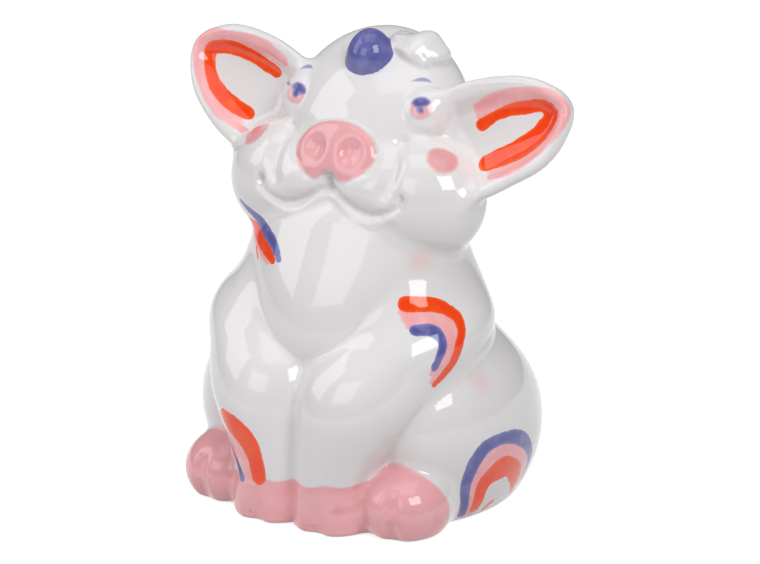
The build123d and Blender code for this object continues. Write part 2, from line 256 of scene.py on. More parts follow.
def lip(points):
    return ball(points, middle=(11.8, -18.0, 116.9), radii=(19, 15.0, 11.0))


def head_clay(points):
    skull = ball(points, middle=(0, 2, 131), radii=(36, 24.5, 38), lean=26)
    face = joined(skull, both(cheek, points), soft=3.0)
    nose = ball(points, middle=(0, -8.6, 126.5), radii=(21, 17.8, 15), lean=20)
    muzzle = joined(nose, both(lip, points), soft=5)
    return joined(face, muzzle, soft=4)


def chin_clay(points):
    return ball(points, middle=(0, -10, 103), radii=(27, 20, 14))


def drawn(points, line, width):
    """A line drawn on the face from the front, as a groove that is one deep in its middle."""
    flat = np.column_stack([np.abs(points[:, 0]), np.zeros(len(points)), points[:, 2]]).astype(points.dtype)
    near = np.full(len(points), FAR_OFF, points.dtype)
    for start, end in zip(line[:-1], line[1:]):
        near = np.minimum(near, roll(flat, (start[0], 0, start[1]), (end[0], 0, end[1]), 0, 0))
    return np.clip((-points[:, 1] - DRAWN_FROM) / DRAWN_FADE, 0, 1) * np.exp(-((near / width) ** 2))


def dimple(points):
    """A pit one deep at each end of the smile, shallower on the pig's left."""
    off = ((np.abs(points[:, 0]) - DIMPLE_X) / DIMPLE_HALF_X) ** 2
    off = off + ((points[:, 2] - DIMPLE_Z) / DIMPLE_HALF_Z) ** 2
    pit = np.where(points[:, 1] < DIMPLE_FRONT, np.exp(-off), 0)
    return pit * np.where(points[:, 0] > 0, LEFT_DIMPLE_SHARE, 1.0)


def eyeball(points):
    return ball(points, middle=(24.8, -7.5, 141.6), radii=(8.4, 7.4, 9.6), lean=20, turn=26)


# %% Snout pad
SNOUT_MIDDLE, SNOUT_LEAN = (0, -26.8, 129.4), 24.0
SNOUT_HALF, SNOUT_ABOVE, SNOUT_BELOW, SNOUT_MEAN = 16.2, 10.8, 11.8, 11.5
SNOUT_FRONT, SNOUT_REAR, SNOUT_ROUND = 3.0, 9, 2
SNOUT_BOW_X, SNOUT_BOW_Z = 0.012, 0.010
NOTCH_HALF, NOTCH_TALL, NOTCH_DROP, NOTCH_MEAN = 4.6, 5.6, 13.4, 5.0
NOSTRIL_X, NOSTRIL_Y, NOSTRIL_Z = 7.3, -2.9, 0.2
NOSTRIL_HALF, NOSTRIL_DEEP, NOSTRIL_TALL = 3.7, 2.4, 4.4


def snout_edge(local):
    """How far a point is outside the pad's outline: an oval with a notch in its lower side."""
    tall = np.where(local[:, 2] < 0, SNOUT_BELOW, SNOUT_ABOVE)
    oval = np.sqrt((local[:, 0] / SNOUT_HALF) ** 2 + (local[:, 2] / tall) ** 2)
    notch = np.hypot(local[:, 0] / NOTCH_HALF, (local[:, 2] + NOTCH_DROP) / NOTCH_TALL)
    return carved((oval - 1) * SNOUT_MEAN, (notch - 1) * NOTCH_MEAN, soft=2.4)


def snout_clay(points):
    local = turned(points - np.array(SNOUT_MIDDLE, points.dtype), SNOUT_LEAN)
    fold = np.abs(local[:, 0])
    edge = snout_edge(local)
    face = -local[:, 1] - SNOUT_FRONT + SNOUT_BOW_X * local[:, 0] ** 2 + SNOUT_BOW_Z * local[:, 2] ** 2
    back_side = local[:, 1] - SNOUT_REAR
    slab = np.maximum(np.maximum(face, back_side), edge)
    rounded = np.maximum(face + SNOUT_ROUND, 0) ** 2 + np.maximum(edge + SNOUT_ROUND, 0) ** 2
    rounded = np.sqrt(rounded) - SNOUT_ROUND
    slab = np.where((face > -SNOUT_ROUND) & (edge > -SNOUT_ROUND), rounded, slab)
    well = ((fold - NOSTRIL_X) / NOSTRIL_HALF) ** 2 + ((local[:, 2] - NOSTRIL_Z) / NOSTRIL_TALL) ** 2
    well = np.sqrt(well + ((local[:, 1] - NOSTRIL_Y) / NOSTRIL_DEEP) ** 2)
    return carved(np.maximum(slab, back_side), (well - 1) * NOSTRIL_DEEP, soft=1.8)


# %% [markdown]
# ## Ears, horn, forelock and tail
# Each ear is a leaf with a raised rim round a hollow. The horn is a gumdrop pressed on the brow. The forelock
# is three little rolls combed to the pig's left, and the tail a roll of clay curled on the rump.

# %% Ears
EAR_ROOT = (30, -6, 129)
EAR_LIFT, EAR_SWEEP, EAR_TILT = math.radians(26.5), math.radians(7), math.radians(20)
ear_along = Vector((
    math.cos(EAR_LIFT) * math.cos(EAR_SWEEP), math.cos(EAR_LIFT) * math.sin(EAR_SWEEP), math.sin(EAR_LIFT),
))
ear_facing = Vector((0, -math.cos(EAR_TILT), math.sin(EAR_TILT)))
ear_facing = (ear_facing - ear_along * ear_facing.dot(ear_along)).normalized()
ear_axes = np.array([ear_along, ear_facing.cross(ear_along), ear_facing]).T
EAR_OUTLINE = [
    (-8, 15), (0, 17), (8, 18.4), (16, 18.8), (22, 18.4), (28, 17.3), (34, 15.7), (40, 13.4), (45, 10.4),
    (48.6, 7.2), (51.4, 3.9), (52.9, 1.0), (55, -5),
]
EAR_RAISED, LEFT_EAR_FULLER = 3.2, 1.8
EAR_HALF_THICK, EAR_ROUND, EAR_BOW = 3.4, 3.0, 0.012
EAR_RIM, EAR_DISH_RUN, EAR_DISH_DEPTH = 3.4, 6.0, 3.4
SWELL_FROM, SWELL_RUN = 22, 34
TIP_SOFT, TIP_BACK, EAR_EDGE_SLOPE = 9, 2.1, 0.86
ear_lengths, ear_halves = smooth_rows(EAR_OUTLINE)


def ear_edge(local, fuller):
    """How far a point is inside the ear's outline, less than zero, or outside it."""
    swell = np.sin(math.pi * np.clip((local[:, 0] - SWELL_FROM) / SWELL_RUN, 0, 1)) ** 2
    half = np.interp(local[:, 0], ear_lengths, ear_halves[:, 0])
    half = half + np.where(local[:, 1] < 0, fuller * swell, 0)
    aside = np.sqrt(local[:, 1] ** 2 + TIP_SOFT) - TIP_BACK
    return np.maximum(EAR_EDGE_SLOPE * (aside - half), ear_lengths[0] - local[:, 0])


def ear(points, raised, fuller):
    """An ear on the pig's left, moved up across its length by some millimetres, with a fuller lower side."""
    local = (points - np.array(EAR_ROOT, points.dtype)) @ ear_axes.astype(points.dtype)
    local[:, 1] -= raised
    edge = ear_edge(local, fuller)
    deep = np.clip((-edge - EAR_RIM) / EAR_DISH_RUN, 0, 1)
    hollow = EAR_DISH_DEPTH * deep * deep * (3 - 2 * deep)
    bow = EAR_BOW * local[:, 1] ** 2
    face = local[:, 2] - bow - EAR_HALF_THICK + hollow
    rear = -local[:, 2] + bow - EAR_HALF_THICK
    flat = np.maximum(face, rear)
    side = edge + EAR_ROUND
    rounded = np.sqrt(side**2 + np.maximum(flat + EAR_ROUND, 0) ** 2) - EAR_ROUND
    return np.where(side > 0, rounded, flat)


def left_ear(points):
    return ear(points, -EAR_RAISED, LEFT_EAR_FULLER)


def right_ear(points):
    return ear(mirrored(points), EAR_RAISED, fuller=0.0)


# %% Horn, forelock and tail
LOCKS = [
    [(9.5, -1.5, 162.6, 1.4), (16.5, -1.6, 161.0, 1.8), (20.5, -1.2, 158.0, 1.6)],
    [(8.0, 2.5, 164.4, 1.8), (17.5, 3.0, 163.4, 2.4), (23.0, 3.6, 159.4, 2.4)],
    [(8.0, 7.5, 164.2, 1.8), (18.5, 7.8, 163.6, 2.6), (23.6, 8.0, 159.6, 2.6)],
]
TAIL_Y, TAIL_Z, TAIL_CURL, TAIL_RADIUS = 59.0, 32, 7, 2.6
TAIL_ANGLES = range(200, 491, 29)


def horn_clay(points):
    dome = ball(points, middle=(1.2, -4.2, 157.5), radii=(8.7, 8.7, 8.4))
    return joined(dome, ball(points, middle=(1.4, -5.0, 162.0), radii=(6.0, 6.0, 6.9)), soft=5)


def forelock_clay(points):
    clay = np.full(len(points), FAR_OFF, points.dtype)
    for lock in LOCKS:
        for start, end in zip(lock[:-1], lock[1:]):
            clay = joined(clay, roll(points, start[:3], end[:3], start[3], end[3]), soft=5.0)
    return clay


def tail_clay(points):
    curl = [math.radians(a) for a in TAIL_ANGLES]
    bends = [(TAIL_CURL * math.cos(a), TAIL_Y, TAIL_Z + TAIL_CURL * math.sin(a)) for a in curl]
    near = np.full(len(points), FAR_OFF, points.dtype)
    for start, end in zip(bends[:-1], bends[1:]):
        near = np.minimum(near, roll(points, start, end, TAIL_RADIUS, TAIL_RADIUS))
    return near


print("lumps defined")

# %% [markdown]
# ## The whole pig in one field
# The lumps are joined in the order in which a figure maker sticks them on. The soft value of each pair is
# the width of the join: thighs melt into the body, while the snout, horn and trotters keep a clear edge. The
# smile is drawn with a fine tool, and the foot is cut flat with a shallow recess and a vent for the kiln.

# %% Join the lumps
CHEST_HALF, CHEST_TOP, CHEST_FADE = 14, 44, 24
LEG_JOIN, LEG_JOIN_MORE = 1.8, 14.2
RECESS = [(-4, 0, 9, 34, 31), (1.5, 0, 9, 34, 31)]
VENT_START, VENT_END, VENT_RADIUS = (0, 9, -9), (0, 9, 6), 4


def pair(form, points, soft):
    """A form and its mirror image, joined where they touch."""
    return joined(form(points), form(mirrored(points)), soft)


def pig_clay(points):
    aside = np.clip((np.abs(points[:, 0]) - CHEST_HALF) / CHEST_FADE, 0, 1)
    aside = aside * np.clip((points[:, 2] - CHEST_TOP) / CHEST_FADE, 0, 1)
    leg_join = LEG_JOIN + LEG_JOIN_MORE * aside * aside * (3 - 2 * aside)
    clay = joined(body_clay(points), pair(foreleg, points, soft=1.6), soft=leg_join)
    clay = joined(clay, pair(fore_trotter, points, soft=1.2), soft=1.6)
    clay = joined(clay, both(hind_trotter, points), soft=4.0)
    clay = joined(clay, chin_clay(points), soft=8)
    clay = joined(clay, head_clay(points), soft=3.5)
    clay = joined(clay, both(eyeball, points), soft=1.2)
    clay = clay + 1.3 * drawn(points, SMILE, width=1.5) + 0.7 * drawn(points, PHILTRUM, width=1.6)
    clay = clay + 1.6 * dimple(points) - 0.6 * drawn(points, LOWER_LIP, width=2.0)
    clay = clay + 1.7 * drawn(points, CHEEK_CREASE, width=3.0) + 0.7 * drawn(points, CHEEK_TOP, width=2.0)
    clay = joined(clay, snout_clay(points), soft=1.2)
    clay = joined(clay, np.minimum(left_ear(points), right_ear(points)), soft=5)
    clay = joined(clay, horn_clay(points), soft=0.9)
    clay = joined(clay, forelock_clay(points), soft=1.8)
    clay = joined(clay, tail_clay(points), soft=1.5)
    vent = roll(points, VENT_START, VENT_END, VENT_RADIUS, VENT_RADIUS)
    clay = carved(clay, np.minimum(stack(points, RECESS), vent), soft=0.6)
    return carved(clay, points[:, 2], soft=1.4)


# %% [markdown]
# ## Wrapping the skin
# The field is sampled on a grid. Every grid cell that the skin crosses gets one point, and neighbouring cells
# are connected to faces, which gives an even net. The points then slide onto the exact skin along the field's
# slope. The slope is also the exact normal, so the glaze mirrors the lamps without any facets.

# %% Sample the field and net the skin
STEP, MARGIN = 1.0, 3.0
LEAST_STEEP, LONGEST_SLIDE = 0.05, 0.6
low = np.array([v / MM for v in cad_box[0]]) - MARGIN
high = np.array([v / MM for v in cad_box[1]]) + MARGIN
counts = np.ceil((high - low) / STEP).astype(int) + 1


def sample_field():
    xs, ys = (low[k] + STEP * np.arange(counts[k]) for k in (0, 1))
    plan = np.stack(np.meshgrid(xs, ys, indexing="ij"), -1).reshape(-1, 2)
    values = np.empty(counts, np.float32)
    for k in range(counts[2]):
        layer = np.column_stack([plan, np.full(len(plan), low[2] + STEP * k)]).astype(np.float32)
        values[:, :, k] = pig_clay(layer).reshape(counts[0], counts[1])
    return values


def net_skin(values):
    inside = values < 0
    corners = np.array([(i, j, k) for i in (0, 1) for j in (0, 1) for k in (0, 1)])
    nx, ny, nz = counts - 1
    total = sum(inside[i:i + nx, j:j + ny, k:k + nz].astype(np.int8) for i, j, k in corners)
    cells = np.argwhere((total > 0) & (total < 8))
    number = np.full((nx, ny, nz), -1)
    number[tuple(cells.T)] = np.arange(len(cells))
    at = np.stack([values[tuple((cells + c).T)] for c in corners], 1)
    spot, hits = np.zeros((len(cells), 3)), np.zeros(len(cells))
    for a in range(8):
        for b in range(a + 1, 8):
            if np.abs(corners[a] - corners[b]).sum() != 1:
                continue
            cross = (at[:, a] < 0) != (at[:, b] < 0)
            share = np.where(cross, at[:, a] / np.where(cross, at[:, a] - at[:, b], 1), 0)
            spot += cross[:, None] * (corners[a] + share[:, None] * (corners[b] - corners[a]))
            hits += cross
    points = low + STEP * (cells + spot / hits[:, None])
    faces = []
    for axis in range(3):
        u, v = (axis + 1) % 3, (axis + 2) % 3
        ahead = np.roll(inside, -1, axis)
        edges = np.argwhere(inside != ahead)
        edges = edges[(edges[:, axis] < counts[axis] - 1) & (edges[:, u] > 0) & (edges[:, v] > 0)]
        outward = inside[tuple(edges.T)]
        ring = []
        for du, dv in ((1, 1), (0, 1), (0, 0), (1, 0)):
            cell = edges.copy()
            cell[:, u] -= du
            cell[:, v] -= dv
            ring.append(number[tuple(cell.T)])
        ring = np.stack(ring, 1)
        faces.append(np.where(outward[:, None], ring, ring[:, ::-1]))
    return points, np.concatenate(faces)


def slope(points, reach=0.12):
    steps = reach * np.eye(3)
    return np.stack([(pig_clay(points + s) - pig_clay(points - s)) / (2 * reach) for s in steps], 1)


def settle(points, rounds):
    """Slides points onto the skin along the slope."""
    for _ in range(rounds):
        uphill = slope(points)
        climb = pig_clay(points)[:, None] * uphill / np.maximum((uphill**2).sum(1), LEAST_STEEP)[:, None]
        points = points - np.clip(climb, -LONGEST_SLIDE * STEP, LONGEST_SLIDE * STEP)
    return points


skin_points, skin_faces = net_skin(sample_field())
edge_ends = np.concatenate([skin_faces[:, [k, (k + 1) % 4]] for k in range(4)])
for _ in range(3):
    spread, touches = np.zeros_like(skin_points), np.zeros(len(skin_points))
    np.add.at(spread, edge_ends[:, 0], skin_points[edge_ends[:, 1]])
    np.add.at(touches, edge_ends[:, 0], 1)
    skin_points = settle(0.5 * skin_points + 0.5 * spread / touches[:, None], 1)
skin_points = settle(skin_points, 2)
skin_normals = slope(skin_points)
skin_normals /= np.linalg.norm(skin_normals, axis=1)[:, None]
off_skin = float(np.abs(pig_clay(skin_points)).max())
print(len(skin_points), "points,", len(skin_faces), "faces, off the skin by", round(off_skin, 3), "mm")

# %% [markdown]
# ## Sharing the skin among the pieces
# The castings stay separate pieces, as they are in the maker's workshop. Each face goes to the lump it lies
# nearest to, so the pieces meet in the valleys between the lumps. All of them keep the points and normals of
# the common skin, and the glaze runs over the seams unbroken. A turned-in edge gives each shell some wall.

# %% Decide which piece a face belongs to
NECK_SEAM = 95.0
PRESSED, TROTTER_PRESSED, THROAT_GIVE = 0.2, 0.3, 0.5


def piece_distances(points):
    """How far points are from each piece. What is pressed on takes a little of the join."""
    flip = mirrored(points)
    above = points[:, 2] > NECK_SEAM
    body = body_clay(points)
    far = np.full(len(points), FAR_OFF)
    head = np.minimum(np.minimum(head_clay(points), chin_clay(points)), both(eyeball, points))
    return {
        "body_casting": np.where(above, far, body),
        "head_casting": np.where(above, np.minimum(head, body), np.maximum(head, THROAT_GIVE)),
        "snout_pad": snout_clay(points) - PRESSED,
        "left_ear": left_ear(points),
        "right_ear": right_ear(points),
        "horn": horn_clay(points) - PRESSED,
        "forelock": forelock_clay(points) - PRESSED,
        "left_foreleg": foreleg(points),
        "right_foreleg": foreleg(flip),
        "left_fore_trotter": fore_trotter(points) - TROTTER_PRESSED,
        "right_fore_trotter": fore_trotter(flip) - TROTTER_PRESSED,
        "left_hind_trotter": hind_trotter(points) - PRESSED,
        "right_hind_trotter": hind_trotter(flip) - PRESSED,
        "tail": tail_clay(points) - PRESSED,
    }


face_middles = skin_points[skin_faces].mean(1)
distances = piece_distances(face_middles)
piece_names = list(distances)
owner = np.argmin(np.stack(list(distances.values()), 1), 1)


LIP_DEPTH = 2.0


def bare_piece(name):
    """A shell of the faces that belong to one piece, with a turned-in edge and the skin's own normals."""
    faces = skin_faces[owner == piece_names.index(name)]
    used, local = np.unique(faces, return_inverse=True)
    faces = local.reshape(-1, 4)
    points, normals = skin_points[used], skin_normals[used]
    ends = np.concatenate([faces[:, [k, (k + 1) % 4]] for k in range(4)])
    key = ends.min(1) * len(points) + ends.max(1)
    _, first, times = np.unique(key, return_index=True, return_counts=True)
    rim = ends[first[times == 1]]
    rim_points = np.unique(rim)
    inner = np.full(len(points), -1)
    inner[rim_points] = len(points) + np.arange(len(rim_points))
    lip = np.column_stack([rim[:, 1], rim[:, 0], inner[rim[:, 0]], inner[rim[:, 1]]])
    points = np.concatenate([points, points[rim_points] - LIP_DEPTH * normals[rim_points]])
    normals = np.concatenate([normals, normals[rim_points]])
    mesh = bpy.data.meshes.new(name)
    mesh.from_pydata((points * MM).tolist(), [], np.concatenate([faces, lip]).tolist())
    mesh.polygons.foreach_set("use_smooth", [True] * len(mesh.polygons))
    mesh.normals_split_custom_set_from_vertices(normals.tolist())
    piece = bpy.data.objects.new(name + "_skin", mesh)
    bpy.context.collection.objects.link(piece)
    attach(piece, "root")
    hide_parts(name)
    return piece, np.concatenate([used, used[rim_points]])


pieces, skin_rows = {}, {}
for name in piece_names:
    pieces[name], skin_rows[name] = bare_piece(name)
for name, piece in pieces.items():
    print(name, len(piece.data.polygons), "faces")

# %% [markdown]
# ## Brush strokes
# The colours are brushed on the bare clay: rainbow arches in orange, pink and violet, and pink washes on the
# trotters, the snout and the cheeks. A picture wrapped round the pig would stretch on such round forms. So
# each pull of the brush is a row of dabs in space, every one with a place and half the brush's width. The
# distance from a skin point to the nearest stroke is kept on the skin, and the glaze makes an edge of it.

# %% Rows of dabs: place in X, Y and Z, then half the width
ORANGE = {
    "shoulder": [
        (33.5, -35, 81, 3.0), (44, -26, 78.5, 2.6), (48, -24.5, 75.5, 2.3), (50.5, -26, 72, 1.7),
        (51, -28.5, 68, 1.8), (49.5, -32, 60, 1.9), (46, -37, 54.5, 1.2),
    ],
    "haunch": [
        (54, -21.5, 5, 2.3), (58, -19.5, 16, 3.6), (60.5, -13.5, 18.5, 4.8), (61, -8.5, 17.5, 3.7),
        (60.5, -3.5, 13.5, 3.9), (59.5, -1, 10, 3.1), (57, 0, 4.5, 1.3),
    ],
    "haunch_dab": [
        (54.5, -16, 2.5, 0.7), (55.5, -14.5, 4, 1.0), (56.5, -12.5, 5, 0.8),
    ],
    "foreleg": [
        (-26, -61, 36.5, 3.2), (-22, -62.5, 35, 4.1), (-15, -63, 30.5, 4.0), (-12, -61.5, 24, 3.2),
        (-11, -60.5, 17.5, 3.0),
    ],
    "neck": [
        (-38.5, -23.5, 99, 0.9), (-26.5, -33, 95, 3.1), (-18, -39.5, 90, 1.4),
    ],
    "neck_far": [
        (-29.5, -32.5, 91.5, 0.6), (-27, -35.5, 88.5, 0.6),
    ],
    "left_ear": [
        (45.5, -3.5, 139.5, 2.3), (49.5, -3, 142.5, 1.9), (60, -2, 147, 2.5), (70.5, -2.5, 148, 2.7),
        (72, -2, 147, 3.1), (69.5, -5, 141, 3.8), (63, -7.5, 134.5, 4.5), (50, -8.5, 127.5, 3.1),
    ],
    "right_ear": [
        (-40, -1.5, 148, 2.3), (-52.5, -1, 153, 2.8), (-64, -0.5, 154.5, 2.8), (-68.5, -0.5, 153.5, 2.4),
        (-67.5, -3.5, 147, 2.1), (-62, -6.5, 140, 2.8), (-55, -7.5, 135.5, 3.1), (-49, -7, 132.5, 2.6),
    ],
}
PINK = {
    "shoulder": [
        (35.5, -37.5, 77, 2.4), (42.5, -32, 76.5, 2.7), (46, -29.5, 74.5, 3.0), (48.5, -30, 71.5, 2.4),
        (49.5, -32, 67.5, 2.0), (46.5, -37.5, 57.5, 1.3),
    ],
    "haunch": [
        (52.5, -23.5, 4, 1.8), (55, -24.5, 13, 1.6), (58, -23, 20.5, 2.3), (60.5, -17, 24.5, 3.1),
        (62, -10, 24.5, 3.3), (62.5, -4.5, 22, 2.4), (62, 0, 18.5, 2.3), (58.5, 4, 8.5, 0.7),
    ],
    "foreleg": [
        (-23.5, -61, 29, 2.0), (-18.5, -61, 23, 3.2), (-15.5, -60.5, 16, 2.1),
    ],
    "neck": [
        (-36, -25, 95.5, 0.7), (-26.5, -34, 93, 0.9), (-21.5, -38.5, 90, 0.8),
    ],
    "left_ear": [
        (44.5, -4, 145, 2.3), (48.5, -4, 147.5, 2.9), (61, -4, 152.5, 2.2), (73.5, -4, 152.5, 2.1),
        (78, -4.5, 149.5, 2.1), (76, -7.5, 142, 2.3), (70.5, -11, 135, 2.1), (62, -14, 128.5, 2.5),
        (54.5, -14, 125.5, 2.2),
    ],
    "right_ear": [
        (-35.5, -4.5, 153, 2.4), (-45, -3.5, 157.5, 2.7), (-57.5, -2, 159, 2.1), (-72, -2, 157, 2.5),
        (-72.5, -4, 151.5, 2.1), (-67.5, -8, 142, 2.0), (-59, -11.5, 134, 2.3), (-47, -13, 128.5, 1.6),
    ],
}
VIOLET = {
    "shoulder": [
        (39, -38.5, 73.5, 2.0), (44.5, -34.5, 73, 2.4), (47, -34, 70, 1.9), (46.5, -38, 61, 1.4),
    ],
    "haunch": [
        (51.5, -26.5, 4, 2.1), (54.5, -28, 18, 2.4), (57, -26.5, 25.5, 2.9), (59, -23.5, 29, 2.8),
        (61, -16.5, 30.5, 2.3), (63, -3.5, 27, 2.9), (62, 4, 21, 2.4), (60.5, 7.5, 15.5, 2.1),
        (58, 7, 7.5, 1.0),
    ],
    "foreleg": [
        (-25.5, -57.5, 24.5, 1.4), (-22, -59, 19, 1.9), (-19, -60, 15, 1.7),
    ],
    "neck": [
        (-39.5, -27, 106, 0.9), (-33, -28.5, 102, 1.9), (-26, -32, 98.5, 2.1), (-19, -37, 95, 1.9),
        (-15, -40, 91, 1.3),
    ],
}

# %% How far a point is from a stroke
UNPAINTED = 8.0
LINE_PARTS, LINE_ROUNDS = 60, 4


def stroke(points, dabs):
    """How far each point is outside the edge of one pull of the brush, less than zero inside."""
    dabs = np.array(dabs, float)
    travelled = np.concatenate([[0], np.cumsum(np.linalg.norm(np.diff(dabs[:, :3], axis=0), axis=1))])
    _, line = smooth_rows(np.column_stack([travelled, dabs]), LINE_PARTS)
    line[:, :3] = settle(line[:, :3], LINE_ROUNDS)
    near = np.full(len(points), UNPAINTED)
    reach = UNPAINTED + line[:, 3].max()
    least, most = line[:, :3].min(0) - reach, line[:, :3].max(0) + reach
    close = np.where(((points > least) & (points < most)).all(1))[0]
    for start, end in zip(line[:-1], line[1:]):
        near[close] = np.minimum(near[close], roll(points[close], start[:3], end[:3], start[3], end[3]))
    return near


def strokes(points, table):
    return np.min([stroke(points, dabs) for dabs in table.values()], 0)


def spots(points, table):
    """How far each point is outside the nearest of some round spots, each a middle and a radius."""
    return np.min([np.linalg.norm(points - np.array(middle), axis=1) - radius for middle, radius in table], 0)


# %% Washes on the trotters and the snout
EDGE_HEIGHT, EDGE_SLANT, EDGE_WAVE, EDGE_RIPPLE = 17.2, 0.09, 0.5, 0.5
FORE_REACH, HIND_REACH, FEET_SEAM = 2, 3, 0.3
HIND_END, HIND_SLANT, HIND_KNEE, HIND_STEEP = 38.5, 0.38, 12, 1.07
SNOUT_WASH_FRONT, SNOUT_WASH_INSET = -16, 0.2


def hand_edge(x):
    """A line that a hand has painted: not quite level."""
    return EDGE_HEIGHT + EDGE_SLANT * x + EDGE_WAVE * np.sin(EDGE_RIPPLE * x)


def washes(points):
    x, y, z = points.T
    fore_feet = np.minimum(foreleg(points), foreleg(mirrored(points)))
    fore_feet = np.minimum(fore_feet, np.minimum(fore_trotter(points), fore_trotter(mirrored(points))))
    hind_feet = both(hind_trotter, points)
    fore = np.maximum(fore_feet - FORE_REACH, fore_feet - hind_feet - FEET_SEAM)
    fore = np.maximum(z - hand_edge(x), fore)
    hind = np.maximum(hind_feet - HIND_REACH, hind_feet - fore_feet - FEET_SEAM)
    hind = np.maximum((y + HIND_END + HIND_SLANT * np.maximum(z - HIND_KNEE, 0)) / HIND_STEEP, hind)
    local = turned(points - np.array(SNOUT_MIDDLE), SNOUT_LEAN)
    on_pad = (y < SNOUT_WASH_FRONT) & (np.abs(local[:, 1]) < SNOUT_REAR)
    snout = np.where(on_pad, snout_edge(local) + SNOUT_WASH_INSET, UNPAINTED)
    return np.minimum(np.minimum(fore, hind), snout)


# %% Eyes, brows and cheeks
EYES = [((26.4, -13.0, 144.9), 4.1), ((-23.8, -14.0, 144.6), 4.0)]
LIDS = [((25.6, -11.4, 147.9), 3.6), ((-22.4, -12.6, 147.7), 3.8)]
PUPILS = [((26.6, -13.2, 144.4), 1.5), ((-23.6, -14.2, 144.6), 1.5)]
BLUSHES = [((38.6, -19.0, 129.8), 5.6), ((-37.2, -20.4, 130.2), 5.6)]
SMUDGES = [((34.2, -26.7, 94.9), 3.0), ((54.1, -18.9, 51.4), 3.0)]
HAIR_THICK, HAIR_FADE, FACE_REAR = 0.62, -0.6, 5
BAND_CREEP, HORN_CRISP, HORN_SPILL = 1.7, 3, 1.0
FINE_LINES = [
    [(19.4, 152.6), (22.3, 153.1), (25.2, 152.0)],
    [(-26.6, 151.7), (-24.7, 152.6), (-20.8, 152.6)],
    [(-32.2, 147.3), (-29.3, 147.1), (-26.6, 146.9)],
]


def fine_lines(points):
    """For hair-thin lines: how far a point is above the line, and how thick the line may be there."""
    x, y, z = points.T
    above, thick = np.full(len(points), UNPAINTED), np.full(len(points), -1.0)
    for line in FINE_LINES:
        first, last = line[0][0], line[-1][0]
        curve = np.polyfit(*np.array(line).T, 2)
        offset = z - np.polyval(curve, x)
        taper = HAIR_THICK - HAIR_THICK * ((2 * x - first - last) / (last - first)) ** 2
        here = (np.abs(offset) < np.abs(above)) & (taper > HAIR_FADE) & (y < FACE_REAR)
        above, thick = np.where(here, offset, above), np.where(here, taper, thick)
    return above, thick


line_above, line_thick = fine_lines(skin_points)
eyes, lids, pupils = (spots(skin_points, table) for table in (EYES, LIDS, PUPILS))
pink, orange, violet = (strokes(skin_points, table) for table in (PINK, ORANGE, VIOLET))
touching = np.minimum(np.maximum(pink, orange), np.maximum(pink, violet)) - BAND_CREEP
paint = {
    "wash": washes(skin_points),
    "blush": spots(skin_points, BLUSHES),
    "smudge": spots(skin_points, SMUDGES),
    "eye": eyes,
    "iris": np.minimum(np.maximum(lids, eyes), pupils),
    "pink": np.minimum(pink, touching),
    "orange": orange,
    "violet": np.minimum(violet, HORN_CRISP * horn_clay(skin_points) - HORN_SPILL),
    "line_above": line_above,
    "line_thick": line_thick,
}
for tint, values in paint.items():
    for name, piece in pieces.items():
        layer = piece.data.attributes.new(tint, "FLOAT", "POINT")
        layer.data.foreach_set("value", values[skin_rows[name]])
    print(tint, "covers", int((values < 0).sum()), "points")

# %% [markdown]
# ## Paint under glaze
# The glaze is a clear glass over white clay and thin colours. So the material is built in layers from below:
# the white ground, the soft washes, the strokes, then one glossy coat. The glaze is never quite even, so a
# slow noise bends the mirror images of the lamps. Here and there an iron speck has burnt through, as
# earthenware shows. The foot ring is wiped clean before the firing and stays dry and matt.


# %% Helpers for shader nodes
def feed(tree, socket, value):
    """Fills a socket with a number, a colour or another node's output."""
    if isinstance(value, bpy.types.NodeSocket):
        tree.links.new(value, socket)
    else:
        socket.default_value = value


def sums(tree, operation, *values):
    node = tree.nodes.new("ShaderNodeMath")
    node.operation = operation
    for socket, value in zip(node.inputs, values):
        feed(tree, socket, value)
    return node.outputs[0]


def ramp(tree, value, start, end):
    """A soft step from 0 at the start to 1 at the end."""
    node = tree.nodes.new("ShaderNodeMapRange")
    node.interpolation_type = "SMOOTHSTEP"
    for socket, number in zip(("Value", "From Min", "From Max"), (value, start, end)):
        feed(tree, node.inputs[socket], number)
    return node.outputs[0]


def layered(tree, amount, under, over):
    node = tree.nodes.new("ShaderNodeMix")
    node.data_type = "RGBA"
    for socket, value in zip((node.inputs[0], node.inputs[6], node.inputs[7]), (amount, under, over)):
        feed(tree, socket, value)
    return node.outputs[2]


def noise(tree, place, scale, detail=2.0):
    node = tree.nodes.new("ShaderNodeTexNoise")
    feed(tree, node.inputs["Vector"], place)
    node.inputs["Scale"].default_value = scale
    node.inputs["Detail"].default_value = detail
    return node.outputs["Fac"]


def painted(tree, tint):
    node = tree.nodes.new("ShaderNodeAttribute")
    node.attribute_name = tint
    return node.outputs["Fac"]


# %% The layers of colour
WHITE, CREAM = (0.825, 0.806, 0.812, 1), (0.795, 0.774, 0.770, 1)
WASH, WASH_DEEP = (0.880, 0.425, 0.445, 1), (0.800, 0.340, 0.360, 1)
BLUSH = (0.780, 0.320, 0.335, 1)
PINK_THIN, PINK_FULL = (0.940, 0.520, 0.530, 1), (0.930, 0.420, 0.440, 1)
ORANGE_THIN, ORANGE_FULL = (0.980, 0.100, 0.006, 1), (0.980, 0.052, 0.001, 1)
VIOLET_THIN, VIOLET_FULL = (0.190, 0.190, 0.480, 1), (0.100, 0.105, 0.345, 1)
SPECK, BISCUIT = (0.420, 0.240, 0.110, 1), (0.640, 0.600, 0.540, 1)
STROKE_TINTS = {
    "pink": (PINK_THIN, PINK_FULL), "orange": (ORANGE_THIN, ORANGE_FULL),
    "violet": (VIOLET_THIN, VIOLET_FULL), "iris": (VIOLET_THIN, VIOLET_FULL),
}
STROKE_SOFT, IRIS_SOFT, HAND_SWAY = 0.22, 0.7, 0.9
